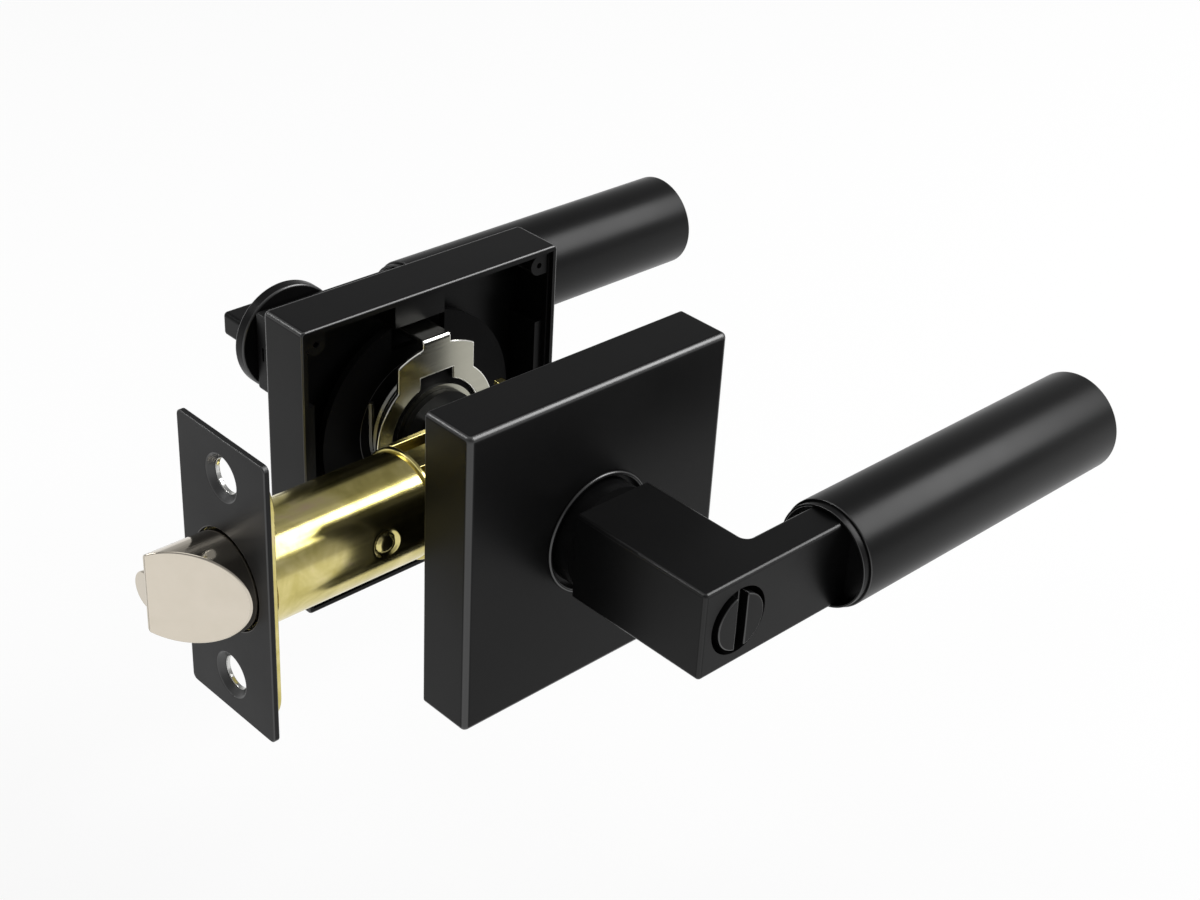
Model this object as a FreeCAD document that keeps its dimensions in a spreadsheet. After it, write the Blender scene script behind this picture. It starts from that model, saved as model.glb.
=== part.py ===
import FreeCAD, Part
import os

import Sketcher

# Lever lockset for a door 35 mm thick. +X runs from the faceplate to the grips, +Y through the door
# from the outside to the inside, +Z up. The origin is where the spindle's axis crosses the latch's
# axis at mid-door. Both sides are drawn as the outside one, at -Y, and the inside one is turned round.
# "out" is the distance from mid-door towards the outside, along -Y.

sizes = {
    # door and roses
    "door_half": 17.5,
    "rose_side": 62.0,
    "rose_deep": 12.0,
    "rose_wall": 1.8,
    "rose_face": 2.2,
    "rose_edge": 1.2,
    "rose_corner": 1.0,
    "rim_edge": 0.5,
    "rim_step_wide": 0.7,
    "rim_step_deep": 0.8,
    "boss_radius": 15.5,
    "boss_deep": 3.0,
    "post_wide": 4.2,
    "post_short": 1.0,
    "pilot_radius": 0.6,
    "pilot_deep": 5.0,
    "stop_wide": 12.0,
    "stop_clear": 1.4,
    "stop_short": 4.7,
    "rib_wide": 2.0,
    "rib_tall": 28.0,
    "rib_short": 1.8,
    # lever's neck and the collar that it turns in
    "neck_radius": 10.6,
    "neck_start": 19.2,
    "run_clear": 0.06,
    "collar_radius": 12.3,
    "collar_proud": 0.6,
    "collar_mouth": 11.5,
    "collar_mouth_deep": 1.6,
    "collar_edge": 0.35,
    "flange_radius": 14.2,
    "flange_thick": 1.5,
    # barrel inside the rose, its washer and its retaining ring
    "barrel_radius": 8.8,
    "barrel_start": 15.5,
    "ring_thick": 0.9,
    "ring_deep": 0.9,
    "ring_wide": 1.9,
    "ring_gap": 9.0,
    "ring_clear": 0.1,
    "washer_radius": 13.4,
    "washer_thick": 0.8,
    # stamped retaining plate
    "plate_proud": 0.6,
    "plate_thick": 1.0,
    "plate_radius": 14.5,
    "plate_hole": 10.9,
    "lobe_radius": 19.0,
    "lobe_wide": 18.6,
    "window_wide": 7.9,
    "window_tall": 12.7,
    "leg_wide": 6.7,
    "leg_top": 20.6,
    "leg_thick": 1.0,
    "leg_bend": 0.9,
    # return spring
    "return_wire": 0.6,
    "return_radius": 12.0,
    "return_turns": 2.0,
    "return_leg": 8.0,
    "return_gap": 0.1,
    # mounting carrier and through bolts
    "carrier_hole": 14.3,
    "carrier_radius": 23.0,
    "carrier_notch": 13.0,
    "notch_from": 17.0,
    "mount_across": 14.0,
    "mount_down": 13.5,
    "mount_post": 3.2,
    "mount_post_long": 4.3,
    "through_radius": 2.0,
    "through_clear": 0.15,
    "head_radius": 3.5,
    "head_tall": 2.2,
    "drive_wide": 1.0,
    "drive_deep": 1.1,
    # lever
    "arm_side": 18.0,
    "arm_start": 33.0,
    "arm_reach": 65.0,
    "bar_thick": 7.7,
    "lever_edge": 0.8,
    "elbow_radius": 1.6,
    "socket_deep": 24.5,
    "bore_radius": 2.0,
    "tenon_radius": 3.0,
    "tenon_long": 12.0,
    "catch_wide": 0.6,
    "catch_tall": 3.2,
    "catch_deep": 1.5,
    "catch_inset": 2.5,
    # grip
    "grip_radius": 10.6,
    "grip_start": 27.6,
    "grip_long": 77.4,
    "grip_edge": 0.5,
    "grip_recess": 1.4,
    "end_ring_inset": 0.5,
    "end_ring_wall": 0.5,
    "end_ring_proud": 1.5,
    # release button
    "button_hole": 6.7,
    "button_hole_deep": 4.3,
    "button_radius": 5.6,
    "button_proud": 0.75,
    "button_under": 0.5,
    "button_edge": 0.3,
    "button_slot": 2.4,
    "button_slot_deep": 2.2,
    "stem_radius": 1.95,
    "stem_long": 11.0,
    # thumb turn and its rod
    "turn_radius": 12.0,
    "turn_thick": 3.0,
    "turn_gap": 0.4,
    "turn_edge": 0.6,
    "wing_wide": 15.0,
    "wing_tall": 5.5,
    "wing_out": 11.0,
    "wing_edge": 1.0,
    "spigot_radius": 5.0,
    "spigot_clear": 0.05,
    "spigot_long": 4.4,
    "rod_radius": 1.4,
    # spindle
    "spindle_side": 8.0,
    "spindle_half": 38.0,
    "spindle_clear": 0.1,
    "spindle_bore": 1.7,
    # faceplate and backing plate
    "backset": 60.3,
    "face_wide": 25.4,
    "face_tall": 57.15,
    "face_thick": 1.2,
    "face_corner": 1.2,
    "bolt_hole": 9.72,
    "screw_apart": 41.28,
    "sink_radius": 4.5,
    "screw_radius": 3.2,
    "backing_wide": 25.0,
    "backing_tall": 53.5,
    "backing_thick": 0.8,
    "backing_corner": 7.8,
    # latch tube
    "tube_radius": 10.4,
    "tube_wall": 1.0,
    "tube_end": 21.2,
    "rim_radius": 11.0,
    "rim_long": 1.0,
    "crimp_radius": 3.0,
    "crimp_deep": 0.6,
    "crimp_from_end": 12.1,
    "crimp_up": 1.2,
    "notch_long": 1.6,
    "notch_tall": 9.0,
    "notch_up": 1.0,
    # bolt and plunger
    "bolt_throw": 12.7,
    "bolt_clear": 0.05,
    "bolt_inside": 9.1,
    "bolt_flat": 5.5,
    "bolt_lip": 0.8,
    "bevel_end": 12.3,
    "bolt_edge": 0.4,
    "tail_radius": 2.2,
    "tail_clear": 0.1,
    "plunger_radius": 3.6,
    "plunger_clear": 0.1,
    "plunger_short": 0.4,
    "plunger_foot": 6.5,
    "plunger_back": 0.5,
    # springs in the latch
    "bolt_wire": 0.45,
    "bolt_coil": 4.6,
    "bolt_turns": 7.0,
    "plunger_wire": 0.25,
    "plunger_coil": 1.15,
    "plunger_turns": 7.0,
    # hub, its frame and the retractor
    "plug_thick": 3.0,
    "plug_inset": 2.0,
    "cheek_gap": 10.6,
    "cheek_thick": 1.2,
    "cheek_tall": 18.4,
    "cheek_neck": 13.2,
    "cheek_step": 1.0,
    "bridge_thick": 1.2,
    "bridge_long": 8.0,
    "hub_journal": 7.2,
    "hub_waist": 6.6,
    "hub_waist_long": 10.0,
    "hub_proud": 0.4,
    "finger_thick": 4.0,
    "finger_wide": 3.8,
    "finger_long": 15.9,
    "finger_edge": 1.2,
    "pull_wide": 6.0,
    "pull_clear": 0.3,
    "pull_thick": 1.9,
    "pull_riser": 1.8,
    "pull_below": 3.0,
    "pull_pad": 2.0,
    "pull_tall": 16.5,
    "pull_slot_back": 9.5,
}

doc = FreeCAD.newDocument("lever_lockset")
sheet = doc.addObject("Spreadsheet::Sheet", "Sizes")
for row, (word, value) in enumerate(sizes.items(), 1):
    sheet.set("A%d" % row, word)
    sheet.set("B%d" % row, str(value))
    sheet.setAlias("B%d" % row, word)
doc.recompute()

zero = FreeCAD.Vector(0, 0, 0)
along_x = FreeCAD.Vector(1, 0, 0)
along_y = FreeCAD.Vector(0, 1, 0)
along_z = FreeCAD.Vector(0, 0, 1)
touch = 0.001
nodes = []


def bound(text):
    """Turns the names in a formula into references to the sheet."""
    words = []
    for piece in text.replace("(", " ( ").replace(")", " ) ").split():
        words.append("Sizes." + piece if piece in sizes else piece)
    return " ".join(words)


def amount(text):
    """Value of a formula of named sizes."""
    return float(sheet.evalExpression(bound(text)))


def origin_feature(body, role):
    for feature in body.Origin.OriginFeatures:
        if feature.Role == role:
            return feature


def new_body(label):
    body = doc.addObject("PartDesign::Body", label)
    body.Label = label
    nodes.append(body)
    return body


def new_sketch(body, name, plane, out="0", across="0", up="0"):
    """Sketch on an origin plane: out is along its normal, across and up move its centre."""
    sketch = body.newObject("Sketcher::SketchObject", name)
    sketch.AttachmentSupport = (origin_feature(body, plane), [""])
    sketch.MapMode = "FlatFace"
    sketch.setExpression("AttachmentOffset.Base.x", bound(across))
    sketch.setExpression("AttachmentOffset.Base.y", bound(up))
    sketch.setExpression("AttachmentOffset.Base.z", bound(out))
    return sketch


def hold(sketch, name, formula, *constraint):
    """Adds a dimension that follows a formula of named sizes."""
    number = sketch.addConstraint(Sketcher.Constraint(*constraint, amount(formula)))
    sketch.renameConstraint(number, name)
    sketch.setExpression("Constraints." + name, bound(formula))


def draw_polygon(sketch, corners):
    """Closed outline of straight edges between the given corners."""
    first = sketch.GeometryCount
    count = len(corners)
    for number in range(count):
        start = FreeCAD.Vector(*corners[number], 0)
        end = FreeCAD.Vector(*corners[(number + 1) % count], 0)
        sketch.addGeometry(Part.LineSegment(start, end), False)
    for number in range(count):
        after = first + (number + 1) % count
        sketch.addConstraint(Sketcher.Constraint("Coincident", first + number, 2, after, 1))
    return first


def draw_rectangle(sketch, wide, tall):
    """Rectangle about the sketch's centre."""
    half_wide = amount(wide) / 2
    half_tall = amount(tall) / 2
    first = draw_polygon(sketch, [(-half_wide, -half_tall), (half_wide, -half_tall),
                                  (half_wide, half_tall), (-half_wide, half_tall)])
    for number in (0, 2):
        sketch.addConstraint(Sketcher.Constraint("Horizontal", first + number))
        sketch.addConstraint(Sketcher.Constraint("Vertical", first + number + 1))
    sketch.addConstraint(Sketcher.Constraint("Symmetric", first, 1, first + 1, 2, -1, 1))
    hold(sketch, "wide", wide, "DistanceX", first, 1, first, 2)
    hold(sketch, "tall", tall, "DistanceY", first + 1, 1, first + 1, 2)


def draw_circle(sketch, radius, name="radius"):
    """Circle about the sketch's centre."""
    number = sketch.addGeometry(Part.Circle(zero, along_z, amount(radius)), False)
    sketch.addConstraint(Sketcher.Constraint("Coincident", number, 3, -1, 1))
    hold(sketch, name, radius, "Radius", number)


def pad(body, sketch, length, back=False):
    feature = body.newObject("PartDesign::Pad", sketch.Name + "_pad")
    feature.Profile = sketch
    feature.setExpression("Length", bound(length))
    feature.Reversed = back
    doc.recompute()
    return feature


def pocket(body, sketch, length, back=False):
    before = body.Shape.Volume
    feature = body.newObject("PartDesign::Pocket", sketch.Name + "_cut")
    feature.Profile = sketch
    feature.setExpression("Length", bound(length))
    feature.Reversed = back
    doc.recompute()
    if body.Shape.Volume > before - touch:
        raise ValueError(body.Label + " " + sketch.Name + " removes nothing")
    return feature


def pad_box(body, name, plane, wide, tall, length, out="0", across="0", up="0", back=False):
    sketch = new_sketch(body, name, plane, out, across, up)
    draw_rectangle(sketch, wide, tall)
    return pad(body, sketch, length, back)


def pad_round(body, name, plane, radius, length, out="0", across="0", up="0", back=False):
    sketch = new_sketch(body, name, plane, out, across, up)
    draw_circle(sketch, radius)
    return pad(body, sketch, length, back)


def cut_box(body, name, plane, wide, tall, length, out="0", across="0", up="0", back=False):
    sketch = new_sketch(body, name, plane, out, across, up)
    draw_rectangle(sketch, wide, tall)
    return pocket(body, sketch, length, back)


def cut_round(body, name, plane, radius, length, out="0", across="0", up="0", back=False):
    sketch = new_sketch(body, name, plane, out, across, up)
    draw_circle(sketch, radius)
    return pocket(body, sketch, length, back)


def round_edges(body, name, radius, wanted):
    """Fillet on the edges of the body that answer a test."""
    base = body.Tip
    names = ["Edge%d" % number for number, edge in enumerate(base.Shape.Edges, 1) if wanted(edge)]
    feature = body.newObject("PartDesign::Fillet", name)
    feature.Base = (base, names)
    feature.setExpression("Radius", bound(radius))
    doc.recompute()
    return feature


def near(first, second):
    return abs(first - second) < touch


def runs_along(edge, axis):
    """True for a straight edge parallel to an axis."""
    if edge.Curve.TypeId != "Part::GeomLine":
        return False
    return near(abs(edge.Curve.Direction.dot(axis)), 1)


def circle_at(edge, axis, place, radius):
    """True for a full circle about an axis direction, at one place along it."""
    if edge.Curve.TypeId != "Part::GeomCircle" or len(edge.Vertexes) != 1:
        return False
    return near(edge.Curve.Center.dot(axis), place) and near(edge.Curve.Radius, radius)


def turn_inside(body, axis):
    """Moves a piece drawn for the outside to the inside: half a turn about X or about Z."""
    body.Placement = FreeCAD.Placement(zero, FreeCAD.Rotation(axis, 180))


def make_rose(label):
    """Square cover, hollow towards the door, with corner posts, a stop block and side ribs."""
    body = new_body(label)
    outer = "door_half + rose_deep"
    pad_box(body, label + "_block", "XZ_Plane", "rose_side", "rose_side", "rose_deep", out="door_half")
    round_edges(body, label + "_corners", "rose_corner", lambda edge: runs_along(edge, along_y))
    round_edges(body, label + "_face_edge", "rose_edge",
                lambda edge: near(edge.BoundBox.YMin, -amount(outer)) and near(edge.BoundBox.YLength, 0))
    round_edges(body, label + "_rim_edge", "rim_edge",
                lambda edge: near(edge.BoundBox.YMax, -amount("door_half")) and near(edge.BoundBox.YLength, 0))
    inside = "rose_side - 2 * rose_wall"
    cut_box(body, label + "_hollow", "XZ_Plane", inside, inside, "rose_deep - rose_face",
            out="door_half", back=True)
    step = inside + " + 2 * rim_step_wide"
    cut_box(body, label + "_rim_step", "XZ_Plane", step, step, "rim_step_deep", out="door_half", back=True)
    floor = outer + " - rose_face"
    pad_round(body, label + "_boss", "XZ_Plane", "boss_radius", "boss_deep", out=floor, back=True)
    post_long = "rose_deep - rose_face - post_short"
    centre = "rose_side / 2 - rose_wall - post_wide / 2"
    square = pad_box(body, label + "_post", "XZ_Plane", "post_wide", "post_wide / 2 + rose_wall / 2",
                     post_long, out=floor, across=centre,
                     up=centre + " + post_wide / 4 + rose_wall / 4", back=True)
    nose = pad_round(body, label + "_post_nose", "XZ_Plane", "post_wide / 2", post_long, out=floor,
                     across=centre, up=centre, back=True)
    pilot = cut_round(body, label + "_pilot", "XZ_Plane", "pilot_radius", "pilot_deep",
                      out="door_half + post_short", across=centre, up=centre, back=True)
    posts = body.newObject("PartDesign::PolarPattern", label + "_posts")
    posts.Originals = [square, nose, pilot]
    posts.Axis = (origin_feature(body, "Y_Axis"), [""])
    posts.Angle = 360
    posts.Occurrences = 4
    body.Tip = posts
    doc.recompute()
    stop_top = "rose_side / 2 - rose_wall / 2"
    stop_low = "(leg_top + stop_clear)"
    pad_box(body, label + "_stop", "XZ_Plane", "stop_wide", stop_top + " - " + stop_low,
            "rose_deep - rose_face - stop_short", out=floor, up="(" + stop_top + " + " + stop_low + ") / 2",
            back=True)
    for number, sign in enumerate(("1", "-1")):
        pad_box(body, label + "_rib%d" % number, "XZ_Plane", "rib_wide + rose_wall / 2", "rib_tall",
                "rose_deep - rose_face - rib_short", out=floor,
                across=sign + " * (rose_side / 2 - rose_wall / 2 - (rib_wide + rose_wall / 2) / 2)",
                back=True)
    cut_round(body, label + "_hole", "XZ_Plane", "collar_radius", "rose_face + boss_deep + 1", out=outer)
    return body


def make_collar(label):
    """Bush that the lever's neck turns in, flanged on the inside of the rose."""
    body = new_body(label)
    mouth = "door_half + rose_deep + collar_proud"
    seat = "door_half + rose_deep - rose_face - boss_deep"
    pad_round(body, label + "_flange", "XZ_Plane", "flange_radius", "flange_thick",
              out=seat + " - flange_thick")
    pad_round(body, label + "_sleeve", "XZ_Plane", "collar_radius",
              "rose_face + boss_deep + collar_proud", out=seat)
    round_edges(body, label + "_edge", "collar_edge",
                lambda edge: circle_at(edge, along_y, -amount(mouth), amount("collar_radius")))
    cut_round(body, label + "_bore", "XZ_Plane", "neck_radius + run_clear",
              "flange_thick + rose_face + boss_deep + collar_proud + 1", out=mouth)
    cut_round(body, label + "_mouth", "XZ_Plane", "collar_mouth", "collar_mouth_deep", out=mouth)
    return body


def make_carrier(label, hole):
    """Mounting ring behind the rose's boss, with two posts for the through bolts."""
    body = new_body(label)
    seat = "door_half + rose_deep - rose_face - boss_deep"
    pad_round(body, label + "_ring", "XZ_Plane", "carrier_radius", "flange_thick",
              out=seat + " - flange_thick")
    for number, sign in enumerate(("1", "-1")):
        pad_round(body, label + "_post%d" % number, "XZ_Plane", "mount_post",
                  "mount_post_long + flange_thick", out=seat, across=sign + " * mount_across",
                  up="-1 * mount_down", back=True)
        cut_round(body, label + "_bolt_hole%d" % number, "XZ_Plane", hole,
                  "mount_post_long + flange_thick + 1", out=seat, across=sign + " * mount_across",
                  up="-1 * mount_down")
        cut_box(body, label + "_notch%d" % number, "XZ_Plane", "carrier_notch", "carrier_radius",
                "flange_thick + 1", out=seat, up=sign + " * (notch_from + carrier_radius / 2)")
    cut_round(body, label + "_hole", "XZ_Plane", "carrier_hole", "flange_thick + 1", out=seat)
    return body


def solid_box(name, low, lengths):
    """Box from its low corner; each of the three places and lengths is a formula."""
    box = doc.addObject("Part::Box", name)
    for path, formula in zip(("Placement.Base.x", "Placement.Base.y", "Placement.Base.z"), low):
        box.setExpression(path, bound(formula))
    for path, formula in zip(("Length", "Width", "Height"), lengths):
        box.setExpression(path, bound(formula))
    return box


def solid_round(name, radius, low, length, across="0", up="0"):
    """Cylinder along +Y from y = low."""
    rod = doc.addObject("Part::Cylinder", name)
    rod.Placement = FreeCAD.Placement(zero, FreeCAD.Rotation(along_x, -90))
    rod.setExpression("Placement.Base.x", bound(across))
    rod.setExpression("Placement.Base.y", bound(low))
    rod.setExpression("Placement.Base.z", bound(up))
    rod.setExpression("Radius", bound(radius))
    rod.setExpression("Height", bound(length))
    return rod


def join(kind, name, base, tool):
    feature = doc.addObject(kind, name)
    feature.Base = base
    feature.Tool = tool
    return feature


def make_retaining_plate(label):
    """Stamped plate at the rim: a ring with two lobes, a window in each and two legs bent back."""
    low = "-1 * (door_half - plate_proud + plate_thick)"
    ring = solid_round(label + "_ring", "plate_radius", low, "plate_thick")
    lobes = join("Part::Common", label + "_lobes",
                 solid_round(label + "_lobe_round", "lobe_radius", low, "plate_thick"),
                 solid_box(label + "_lobe_band", ("-1 * lobe_wide / 2", low, "-1 * lobe_radius"),
                           ("lobe_wide", "plate_thick", "2 * lobe_radius")))
    strip = solid_box(label + "_strip", ("-1 * leg_wide / 2", low, "-1 * leg_top"),
                      ("leg_wide", "plate_thick", "2 * leg_top"))
    floor = "-1 * (door_half + rose_deep - rose_face)"
    leg_long = "rose_deep - rose_face + plate_proud"
    upper_leg = solid_box(label + "_upper_leg", ("-1 * leg_wide / 2", floor, "leg_top - leg_thick"),
                          ("leg_wide", leg_long, "leg_thick"))
    lower_leg = solid_box(label + "_lower_leg", ("-1 * leg_wide / 2", floor, "-1 * leg_top"),
                          ("leg_wide", leg_long, "leg_thick"))
    blank = doc.addObject("Part::MultiFuse", label + "_blank")
    blank.Shapes = [ring, lobes, strip, upper_leg, lower_leg]
    blank.Refine = True
    holes = doc.addObject("Part::MultiFuse", label + "_holes")
    holes.Shapes = [solid_round(label + "_eye", "plate_hole", low + " - 1", "plate_thick + 2"),
                    solid_box(label + "_window", ("-1 * window_wide / 2", low + " - 1", "-1 * window_tall"),
                              ("window_wide", "plate_thick + 2", "2 * window_tall"))]
    flat = join("Part::Cut", label + "_flat", blank, holes)
    doc.recompute()
    top = -amount("door_half - plate_proud")
    bends = []
    for number, edge in enumerate(flat.Shape.Edges, 1):
        box = edge.BoundBox
        outer = near(abs(box.ZMin), amount("leg_top")) and near(box.ZLength, 0) and near(box.YMin, top)
        if outer and near(box.YLength, 0) and runs_along(edge, along_x):
            bends.append((number, amount("leg_bend"), amount("leg_bend")))
    plate = doc.addObject("Part::Fillet", label)
    plate.Label = label
    plate.Base = flat
    plate.Edges = bends
    nodes.append(plate)
    return plate


def make_washer(label):
    """Washer on the barrel, against the back of the retaining plate."""
    body = new_body(label)
    seat = "door_half - plate_proud + plate_thick"
    pad_round(body, label + "_disc", "XZ_Plane", "washer_radius", "washer_thick", out=seat)
    cut_round(body, label + "_eye", "XZ_Plane", "barrel_radius + run_clear", "washer_thick + 1",
              out=seat + " + washer_thick")
    return body


def make_retaining_ring(label):
    """Open spring ring in the groove of the barrel."""
    body = new_body(label)
    back = "door_half - plate_proud + plate_thick - ring_clear"
    pad_round(body, label + "_disc", "XZ_Plane", "barrel_radius - ring_deep + ring_wide", "ring_thick",
              out=back, back=True)
    cut_round(body, label + "_eye", "XZ_Plane", "barrel_radius - ring_deep", "ring_thick + 1", out=back)
    cut_box(body, label + "_gap", "XZ_Plane", "ring_gap", "barrel_radius + ring_wide", "ring_thick + 1",
            out=back, up="-1 * (barrel_radius + ring_wide) / 2")
    return body


def make_return_spring(label):
    """Torsion spring round the neck: a helix about Y with a straight leg off each end."""
    wire_radius = amount("return_wire")
    radius = amount("return_radius")
    low = amount("door_half - plate_proud + plate_thick + washer_thick + return_wire + return_gap")
    high = amount("door_half + rose_deep - rose_face - boss_deep - flange_thick")
    high -= amount("return_wire + return_gap")
    turns = amount("return_turns")
    coil = Part.makeHelix((high - low) / turns, high - low, radius)
    ends = [vertex.Point for vertex in coil.OrderedVertexes]
    start = ends[0]
    finish = ends[-1]
    leg = FreeCAD.Vector(0, amount("return_leg"), 0)
    edges = [Part.LineSegment(start - leg, start).toShape()] + coil.Edges
    edges.append(Part.LineSegment(finish, finish + leg).toShape())
    arm = FreeCAD.Vector(wire_radius, 0, 0)
    corners = [start - leg + FreeCAD.Rotation(along_y, 60 * number).multVec(arm) for number in range(7)]
    section = Part.makePolygon(corners)
    spring = doc.addObject("Part::Feature", label)
    spring.Label = label
    spring.Shape = Part.Wire(edges).makePipeShell([section], True, True)
    turn = FreeCAD.Rotation(along_x, 90)
    spring.Placement = FreeCAD.Placement(FreeCAD.Vector(0, -low, 0), turn)
    nodes.append(spring)
    return spring


def make_lever(label, hole_radius, hole_deep, catch):
    """Barrel, neck, square arm and flat bar in one casting, the bar ending in a round tenon."""
    body = new_body(label)
    bar_end = "grip_start + grip_recess"
    axis = "arm_reach - bar_thick / 2"
    pad_round(body, label + "_barrel", "XZ_Plane", "barrel_radius", "neck_start - barrel_start",
              out="barrel_start")
    pad_round(body, label + "_neck", "XZ_Plane", "neck_radius", "arm_start - neck_start", out="neck_start")
    pad_box(body, label + "_arm", "XZ_Plane", "arm_side", "arm_side", "arm_reach - arm_start",
            out="arm_start")
    pad_box(body, label + "_bar", "YZ_Plane", "bar_thick", "arm_side", bar_end, across="-1 * (" + axis + ")")
    half = amount("arm_side") / 2
    inner = -amount("arm_reach - bar_thick")
    round_edges(body, label + "_elbow", "elbow_radius",
                lambda edge: runs_along(edge, along_z) and near(edge.BoundBox.XMin, half)
                and near(edge.BoundBox.YMin, inner))
    root = -amount("arm_start")
    reach = -amount("arm_reach")

    def long_edge(edge):
        box = edge.BoundBox
        if runs_along(edge, along_x):
            return box.YMax < root - touch
        if runs_along(edge, along_y):
            return near(abs(box.ZMin), half) and box.XMax < half + touch and box.YMin < root
        return runs_along(edge, along_z) and near(box.XMin, -half) and near(box.YMin, reach)

    round_edges(body, label + "_edges", "lever_edge", long_edge)
    pad_round(body, label + "_tenon", "YZ_Plane", "tenon_radius", "tenon_long", out=bar_end,
              across="-1 * (" + axis + ")")
    socket = "spindle_side + spindle_clear"
    cut_box(body, label + "_socket", "XZ_Plane", socket, socket, "socket_deep", out="barrel_start", back=True)
    cut_round(body, label + "_bore", "XZ_Plane", "bore_radius",
              "arm_reach - barrel_start - socket_deep", out="arm_reach")
    cut_round(body, label + "_seat", "XZ_Plane", hole_radius, hole_deep, out="arm_reach")
    groove = new_sketch(body, label + "_groove", "XZ_Plane",
                        out="door_half - plate_proud + plate_thick - ring_clear / 2")
    draw_circle(groove, "barrel_radius - ring_deep", "inner")
    draw_circle(groove, "barrel_radius + 1", "outer")
    pocket(body, groove, "ring_thick + ring_clear")
    if catch:
        cut_box(body, label + "_catch", "YZ_Plane", "catch_wide", "catch_tall", "catch_deep",
                out="-1 * arm_side / 2", across="-1 * (arm_reach - catch_inset)", back=True)
    return body


def make_grip(label):
    """Round bar with a recess and a blind hole for the lever's bar and tenon."""
    body = new_body(label)
    axis = "-1 * (arm_reach - bar_thick / 2)"
    pad_round(body, label + "_bar", "YZ_Plane", "grip_radius", "grip_long", out="grip_start", across=axis)
    tip = amount("grip_start + grip_long")
    round_edges(body, label + "_tip", "grip_edge",
                lambda edge: circle_at(edge, along_x, tip, amount("grip_radius")))
    round_edges(body, label + "_mouth", "grip_edge / 2",
                lambda edge: circle_at(edge, along_x, amount("grip_start"), amount("grip_radius")))
    cut_round(body, label + "_recess", "YZ_Plane", "grip_radius - end_ring_inset", "grip_recess",
              out="grip_start", across=axis, back=True)
    cut_round(body, label + "_hole", "YZ_Plane", "tenon_radius", "tenon_long + 0.5",
              out="grip_start + grip_recess", across=axis, back=True)
    return body


def make_end_ring(label):
    """Thin ring in the grip's recess, standing out round the flat bar."""
    body = new_body(label)
    axis = "-1 * (arm_reach - bar_thick / 2)"
    radius = "grip_radius - end_ring_inset"
    start = "grip_start - end_ring_proud"
    pad_round(body, label + "_sleeve", "YZ_Plane", radius, "end_ring_proud + grip_recess", out=start,
              across=axis)
    cut_round(body, label + "_eye", "YZ_Plane", radius + " - end_ring_wall",
              "end_ring_proud + grip_recess + 1", out="grip_start + grip_recess", across=axis)
    return body


def make_release_button(label):
    """Slotted disc in the end of the outside arm, with a stem towards the rod."""
    body = new_body(label)
    under = "arm_reach - button_hole_deep + button_under"
    face = "arm_reach + button_proud"
    pad_round(body, label + "_head", "XZ_Plane", "button_radius", face + " - (" + under + ")", out=under)
    round_edges(body, label + "_edge", "button_edge",
                lambda edge: circle_at(edge, along_y, -amount(face), amount("button_radius")))
    pad_round(body, label + "_stem", "XZ_Plane", "stem_radius", "stem_long", out=under, back=True)
    cut_box(body, label + "_slot", "XZ_Plane", "button_slot", "2 * button_radius + 1", "button_slot_deep",
            out=face)
    return body


def make_thumb_turn(label):
    """Disc with a cross wing outside the inside arm, and a spigot that turns in the arm."""
    body = new_body(label)
    near_face = "arm_reach + turn_gap"
    far_face = near_face + " + turn_thick"
    pad_round(body, label + "_disc", "XZ_Plane", "turn_radius", "turn_thick", out=near_face)
    for place in (near_face, far_face):
        round_edges(body, label + "_edge", "turn_edge",
                    lambda edge: circle_at(edge, along_y, -amount(place), amount("turn_radius")))
    pad_box(body, label + "_wing", "XZ_Plane", "wing_wide", "wing_tall", "wing_out", out=far_face)
    tip = -amount(far_face + " + wing_out")

    def wing_edge(edge):
        box = edge.BoundBox
        if runs_along(edge, along_y):
            return True
        return near(box.YMin, tip) and near(box.YMax, tip)

    round_edges(body, label + "_wing_edges", "wing_edge", wing_edge)
    pad_round(body, label + "_spigot", "XZ_Plane", "spigot_radius", "spigot_long", out=near_face, back=True)
    return body


def make_privacy_rod(label):
    """Rod from the release button's stem to the thumb turn's spigot."""
    body = new_body(label)
    front = "arm_reach - button_hole_deep + button_under - stem_long"
    rear = "arm_reach + turn_gap - spigot_long"
    pad_round(body, label + "_bar", "XZ_Plane", "rod_radius", front + " + " + rear, out=front, back=True)
    return body


def make_spindle(label):
    """Square bar between the two levers, bored for the rod."""
    body = new_body(label)
    pad_box(body, label + "_bar", "XZ_Plane", "spindle_side", "spindle_side", "2 * spindle_half",
            out="spindle_half", back=True)
    cut_round(body, label + "_bore", "XZ_Plane", "spindle_bore", "2 * spindle_half + 1", out="spindle_half")
    return body


def make_through_bolts(label):
    """Two machine screws from the inside carrier to the outside one, slotted for a driver."""
    head_seat = "door_half + rose_deep - rose_face - boss_deep"
    low = "-1 * (" + head_seat + ")"
    bolts = []
    for number, sign in enumerate(("1", "-1")):
        across = sign + " * mount_across"
        place = {"across": across, "up": "-1 * mount_down"}
        name = label + "_%d" % number
        shank = solid_round(name + "_shank", "through_radius", low, "2 * (" + head_seat + ")", **place)
        head = solid_round(name + "_head", "head_radius", head_seat, "head_tall", **place)
        whole = join("Part::Fuse", name + "_whole", shank, head)
        slot = solid_box(name + "_slot",
                         (across + " - drive_wide / 2", head_seat + " + head_tall - drive_deep",
                          "-1 * mount_down - head_radius - 1"),
                         ("drive_wide", "drive_deep + 1", "2 * head_radius + 2"))
        bolts.append(join("Part::Cut", name, whole, slot))
    pair = doc.addObject("Part::Compound", label)
    pair.Label = label
    pair.Links = bolts
    nodes.append(pair)
    return pair


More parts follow.
